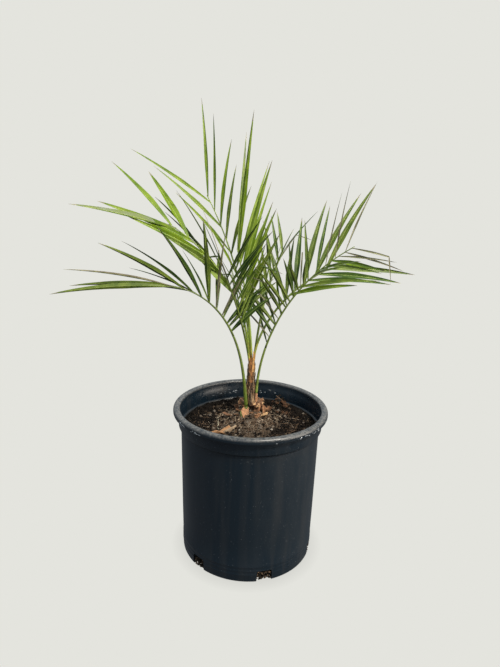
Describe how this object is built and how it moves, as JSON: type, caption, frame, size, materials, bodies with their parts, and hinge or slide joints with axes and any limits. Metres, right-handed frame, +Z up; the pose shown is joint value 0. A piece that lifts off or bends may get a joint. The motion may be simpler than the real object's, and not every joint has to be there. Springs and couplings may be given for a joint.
{
  "type": "potted pindo palm",
  "caption": "Young feather-leaved palm with arching fronds of narrow leaflets on a short fibrous stem, standing in a round nursery pot of soil.",
  "frame": {"origin": "centre of the pot's flat underside", "axes": "+Z up along the plant, -Y toward the camera side, +X to its right"},
  "size_m": [0.5437, 0.254, 0.7441],
  "materials": {
    "pot": "satin",
    "soil": "matte",
    "trunk": "matte",
    "petiole": "satin",
    "frond": "satin"
  },
  "bodies": {
    "root": {"pot": "pot", "soil": "soil", "trunk": "trunk", "petiole_low_left": "petiole", "frond_low_left": "frond", "petiole_tall_left": "petiole", "frond_tall_left": "frond", "petiole_broad_left": "petiole", "frond_broad_left": "frond", "petiole_front_left": "petiole", "frond_front_left": "frond", "petiole_front_right": "petiole", "frond_front_right": "frond", "petiole_back_right": "petiole", "frond_back_right": "frond", "petiole_middle_right": "petiole", "frond_middle_right": "frond", "petiole_newest": "petiole", "frond_newest": "frond"}
  },
  "joints": []
}
